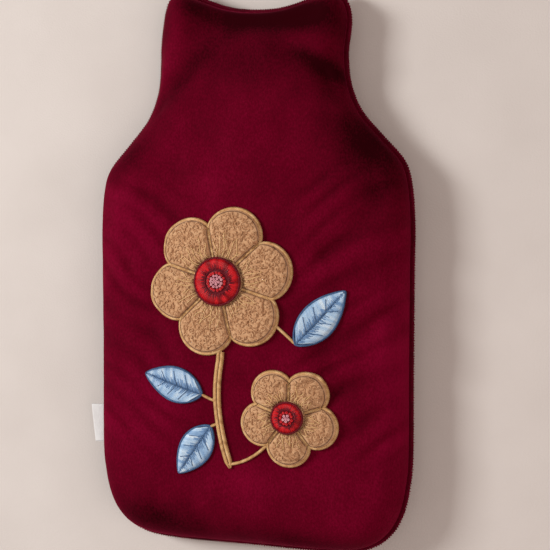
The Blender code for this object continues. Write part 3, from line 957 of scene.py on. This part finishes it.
def fleece_curls(row, top, seed):
    """Short curled tufts that cover the petals, lying every way."""
    _, cx, cy, _, radius, _, _, centre = row
    chance = np.random.default_rng(seed)
    grid = np.arange(-radius, radius, CURL_PITCH)
    spots = np.stack(np.meshgrid(grid, grid)).reshape(2, -1)
    x, y = spots + chance.uniform(-0.45, 0.45, spots.shape) * CURL_PITCH
    far, inside, to_line = flower_places(x + cx, y + cy, row)
    kept = (inside > 3.3) & (far > centre + 0.8) & (to_line > 2.0)
    middles = stacked(x[kept] + cx, y[kept] + cy)
    count, steps = len(middles), 10
    t = np.linspace(-0.5, 0.5, steps)
    bend = chance.choice((-1, 1), count) * chance.uniform(2.2, 4.6, count)
    turned = chance.uniform(0, TURN, count)[:, None] + bend[:, None] * t
    length = chance.uniform(3.0, 4.4, (count, 1)) / (steps - 1)
    path = np.cumsum(heading(turned) * length[..., None], axis=1)
    path = path - path.mean(axis=1, keepdims=True) + middles[:, None]
    hump = chance.uniform(-0.2, 0.35, (count, 1)) * MM + 0.35 * MM * np.cos(t * math.pi)
    thick = chance.uniform(0.36, 0.52, (count, 1)) * MM * (0.6 + 0.4 * np.cos(t * math.pi * 0.9))
    # Each curl's tone is random, plus painted light where it rises higher and painted shade where it lies
    # low, as at its ends.
    tone = chance.uniform(0.40, 0.66, (count, 1)) + 0.4 * (hump / MM - 0.3)
    return strands(raised(top, path, hump - 0.15 * MM), thick, 0, tone)


def petal_sewing(row, top, seed):
    """The corded edge of a flower, corded lines between its petals, and loose strokes of thread on them."""
    _, cx, cy, petals, radius, _, turn, centre = row
    angles, reach = flower_ring(row)
    edge, inner = ((cx, cy) + (reach - inset)[:, None] * heading(angles) for inset in (0.3, 1.9))
    parts = satin_line(edge, 2.2, 1.25, above(0.5), 0, closed=True, tone=0.08)
    parts.append(run_line(np.vstack((inner, inner[:1])), lifted(top, 0.1), 1, 0.26 * MM))
    chance = np.random.default_rng(seed)
    for k in range(petals):
        angle = math.radians(turn) + (k + 0.5) * TURN / petals
        out = heading(angle)
        line = (cx, cy) + np.linspace(centre + 0.5, flower_reach(angle, row) - 1.5, 12)[:, None] * out
        parts += satin_line(line, 1.6, 0.7, lifted(top, -0.1), 0, tone=0.04)
        for side in (-1, 1):
            parts.append(run_line(line + left_of(out) * side * 1.2, lifted(top, 0.2), 1))
        # The strokes fan out over the petal from the flower's middle.
        for share in np.linspace(-0.34, 0.34, 7):
            angle = math.radians(turn) + (k + share) * TURN / petals
            far = np.linspace(centre + 0.3, centre + (radius - centre) * chance.uniform(0.25, 0.5), 14)
            bent = angle + 0.10 * chance.uniform(-1, 1) * np.sin(np.linspace(0, 5, 14))
            line = (cx, cy) + far[:, None] * heading(bent)
            parts.append(run_line(line, lifted(top, 0.35), 0, 0.3 * MM, 0.62))
    return parts


def flower(row, seed):
    """A flower of fleece, its curls, and the sewing that holds it down."""
    name, cx, cy, _, radius, _, _, _ = row
    top = fleece_top(row)
    angles, reach = flower_ring(row)
    shares = np.linspace(0.1, 1, int(radius * 1.45))[:, None]
    x = (cx + reach * np.cos(angles) * shares) * MM
    y = (cy + reach * np.sin(angles) * shares) * MM
    rings = over_and_under(x, y, top(x, y), on_velvet(x, y) - 0.1 * MM, 6)
    # The fleece's tone is painted shade and light: darker in the hollows between its clumps, lighter on
    # their tops, with a little random change.
    tone = 0.12 + 0.62 * fleece_clumps(x, y) + 0.05 * waves(x, y, 14 * MM, seed)
    body = lathe_like(rings, 0, np.vstack((tone, tone[::-6])))
    fleece = piece_from("fleece_" + name, [body], [FLEECE_TAN], ["petals_" + name])
    curls = piece_from("curls_" + name, [fleece_curls(row, top, seed + 1)], [FLEECE_TAN])
    parts = petal_sewing(row, top, seed + 2)
    sewing = piece_from("petal_stitching_" + name, parts, [GOLD, BROWN])


def circle(count, skew=0.0):
    """Even steps round a circle of radius 1."""
    return heading(np.arange(count) * TURN / count + skew)


def padding(rings, rises, base, sunk, number, tone=0.5):
    """The padded body under satin stitches, from flat rings and their rise over the base, in millimetres."""
    x, y = rings[..., 0] * MM, rings[..., 1] * MM
    height = base(x, y)
    top = height + np.array(rises)[:, None] * MM
    return lathe_like(over_and_under(x, y, top, height - sunk * MM, 2), number, tone)


def knots(middle, reach, base, chance):
    """A heap of small curled knots, pink in its middle and red round it."""
    rings = [np.zeros((1, 2))]
    for k in range(1, int((reach - 0.6) / KNOT_PITCH) + 1):
        rings.append(circle(int(TURN * k * KNOT_PITCH / 1.85), k) * k * KNOT_PITCH)
    spots = np.vstack(rings)
    far = np.linalg.norm(spots, axis=1)
    spots = spots + middle + chance.uniform(-0.2, 0.2, spots.shape)
    t = np.linspace(0, 2.6 * math.pi, 16)
    flat = spots[:, None] + heading(t) * (0.62 - 0.12 * t / t[-1])[:, None]
    heaped = chance.uniform(0, 0.3, (len(spots), 1)) + 0.5 * (1 - (far / reach) ** 2)[:, None]
    paths = raised(base, flat, (0.15 + 0.4 * t / t[-1] + heaped) * MM)
    tone = chance.uniform(0.35, 0.7, len(spots))
    pink = far < reach * 0.5
    return [strands(paths[some], 0.36 * MM, number, tone[some]) for some, number in ((~pink, 0), (pink, 2))]


def disc(row, seed):
    """The embroidered middle: radial satin stitches inside a corded rim, round a heap of knots."""
    name, cx, cy, *_, centre = row
    middle = (cx, cy)
    chance = np.random.default_rng(seed)
    base = above((FLEECE + GAP) / MM)
    shares = np.array((0.05, 0.3, 0.6, 0.85, 0.97, 1.0))[:, None, None]
    rings = middle + circle(90) * (centre - 0.5) * shares
    parts = [padding(rings, (0.9, 0.9, 0.9, 0.85, 0.6, 0.1), base, 2.2, 1)]
    inner = centre * 0.5
    count = int(TURN * centre / 0.6)
    up = lifted(base, 0.75)
    reach = centre - 0.9 - chance.uniform(0, 0.5, (count, 1))
    start = middle + circle(count) * (inner - 0.4)
    parts.append(stitches(start, middle + circle(count, 0.1) * reach, up, 0.5, 0, streaks(count, seed, 0.3)))
    short = inner + (centre - inner) * chance.uniform(0.25, 0.65, (count, 1))
    picked = chance.random(count) < 0.6
    end = middle + circle(count, 0.05) * short
    dark = streaks(picked.sum(), seed + 3)
    parts.append(stitches(start[picked], end[picked], lifted(up, 0.25), 0.4, 1, dark))
    parts += satin_line(middle + circle(count) * (centre - 0.6), 1.3, 0.7, lifted(base, 0.2), 1, closed=True)
    parts += satin_line(middle + circle(count) * inner, 1.0, 0.55, up, 1, closed=True)
    parts += knots(middle, inner, up, chance)
    piece_from("satin_center_" + name, parts, [RED, DARK_RED, PINK], ["center_" + name])


def leaf_lines(base_x, base_y, tip_x, tip_y, width, steps):
    """Shares of a leaf's length, and the points of its middle and of its right and left edges there."""
    base, tip = np.array(((base_x, base_y), (tip_x, tip_y)), float)
    along = tip - base
    side = left_of(unit(along))
    t = (1 - np.cos(np.linspace(0, math.pi, steps))) / 2
    half = width / 2 * np.sin(math.pi * t**0.85) ** 0.8
    spine = base + along * t[:, None]
    return t, spine, spine - side * half[:, None], spine + side * half[:, None]


def leaf(row, seed):
    """A leaf in satin stitch: light threads to its edge, darker ones from its vein, and a corded outline."""
    name, *shape = row
    _, spine, right, left = leaf_lines(*shape, 40)
    outline = np.vstack((right, left[-2:0:-1]))
    middle = outline.mean(axis=0)
    shares = np.array((0.03, 0.3, 0.6, 0.85, 0.96, 1.0))[:, None, None]
    rings = middle + (outline - middle) * 0.97 * shares
    parts = [padding(rings, (1.1, 1.1, 1.05, 0.9, 0.55, 0.1), on_velvet, 0, 0, 0.4)]
    count = int(np.linalg.norm(spine[-1] - spine[0]) / SATIN_PITCH)
    t = np.linspace(0.02, 0.97, count)
    order, fine_spine, *edges = leaf_lines(*shape, 200)
    start = line_at(t, order, fine_spine)
    chance = np.random.default_rng(seed)
    for side, edge in enumerate(edges):
        end = line_at(np.clip(t + 0.19 * (1 - t), 0, 1), order, edge)
        # The light blue stitches get painted light along the middle of each arch and painted shade at its
        # ends, over their streaks.
        light = streaks(count, seed + side, 0.26)[:, None] + 0.1 * np.sin(np.linspace(0, math.pi, 5)) - 0.02
        parts.append(stitches(start, start + (end - start) * 0.95, above(0.85), 0.55, 0, light))
        near = start + (end - start) * chance.uniform(0.22, 0.55, (count, 1))
        picked = chance.random(count) < 0.55
        dark = streaks(picked.sum(), seed + side + 2, 0.2)
        parts.append(stitches(start[picked], near[picked], above(1.2), 0.35, 2, dark))
    parts += satin_line(outline, 1.3, 0.9, above(0.2), 1, closed=True)
    vein = fine_spine[(order > 0.03) & (order < 0.9)][::4]
    parts += satin_line(vein, 0.9, 0.4, above(1.2), 1, taper=2.0)
    for place in (0.22, 0.42, 0.62):
        for edge in edges:
            root = line_at((place,), order, fine_spine)
            end = line_at((place + 0.16,), order, edge)
            line = root + (end - root) * np.linspace(0.05, 0.78, 12)[:, None]
            parts.append(run_line(line, above(1.6), 1, 0.26 * MM))
    piece_from("satin_" + name, parts, [BLUE, DEEP_BLUE, MID_BLUE], [name])


def bent_line(start, bend, end):
    """A curve that leaves its start towards the bend, and comes from there to its end."""
    start, bend, end = np.array((start, bend, end), float)
    t = np.linspace(0, 1, 60)[:, None]
    return (1 - t) ** 2 * start + 2 * t * (1 - t) * bend + t**2 * end


def stem():
    """Two rows of slanted satin stitches with a thread between them, and thin stalks to the rest."""
    points, left, _ = along_line(np.vstack((STEM_TOP, bent_line(*STEM))), SATIN_PITCH)
    to_end = np.arange(len(points))[::-1, None] * SATIN_PITCH
    apart = 1.2 * np.sqrt(np.clip((to_end + 0.5) / 5, 0, 1))
    parts = []
    for side in (-1, 1):
        row = points + left * side * apart
        parts += satin_line(row, 2.4, 1.1, above(0.2), 0, slant=0.45 * side, taper=5.0)
    parts.append(run_line(points, above(0.7), 1, 0.25 * MM))
    for stalk in STALKS:
        parts += satin_line(bent_line(*stalk), 1.7, 0.75, above(0.15), 0, slant=0.3, taper=1.5)
    piece_from("satin_stem", parts, [GOLD, BROWN], ["stem"])


# ---- the stage ----


def stage():
    """A plain pale floor just under the cover."""
    mesh = bpy.data.meshes.new("floor")
    corners = ((-1, -1), (1, -1), (1, 1), (-1, 1))
    mesh.from_pydata([(x * FLOOR_REACH, y * FLOOR_REACH, 0) for x, y in corners], [], [(0, 1, 2, 3)])
    pales = ((0.64, 0.590, 0.560), (0.70, 0.650, 0.620))
    plaster = surface("pale_floor", pales, 60 * MM, 0.9, 1.2 * MM, 0.12 * MM, specular=0.1, own=0)
    mesh.materials.append(plaster)
    floor = add_object("floor", mesh)
    floor.location.z = -0.2 * MM


def light(name, place, size, energy, colour):
    """A square lamp aimed at the middle of the cover."""
    lamp = bpy.data.lights.new(name, "AREA")
    lamp.shape = "SQUARE"
    lamp.size = size
    lamp.energy = energy
    lamp.color = colour
    made = add_object(name, lamp)
    made.location = place
    made.rotation_euler = (COVER_MIDDLE - Vector(place)).to_track_quat("-Z", "Y").to_euler()


def camera():
    """The photograph's camera, which looks at the level of the seam."""
    lens = bpy.data.cameras.new("camera")
    lens.sensor_fit = "HORIZONTAL"
    lens.sensor_width = SENSOR_MM
    lens.lens = FOCAL_PIXELS / FRAME_PIXELS * SENSOR_MM
    made = add_object("camera", lens)
    right = AIM_X + CAMERA_DISTANCE * math.sin(CAMERA_TURN)
    made.location = (right, 0, SEAM_HEIGHT + CAMERA_DISTANCE * math.cos(CAMERA_TURN))
    made.rotation_euler = (0, CAMERA_TURN, 0)
    bpy.context.scene.camera = made


camera()
stage()
seam_band()
seam_overlock()
velvet_front()
velvet_backs()
tape_tab()
for seed, row in enumerate(FLOWERS):
    flower(row, 31 + 10 * seed)
    disc(row, 51 + seed)
for seed, row in enumerate(LEAVES):
    leaf(row, 71 + 5 * seed)
stem()

light("window", (-1.25, 0.35, 1.0), 0.45, 22, (1.0, 1.0, 0.98))
light("fill", (1.1, -0.3, 1.1), 1.2, 8, (1.0, 0.84, 0.77))
world = bpy.data.worlds.new("studio")
world.use_nodes = True
feed(world, world.node_tree.nodes["Background"], {"Color": (1.0, 0.87, 0.81, 1), "Strength": 0.34})
bpy.context.scene.world = world
bpy.context.scene.view_settings.view_transform = "Standard"
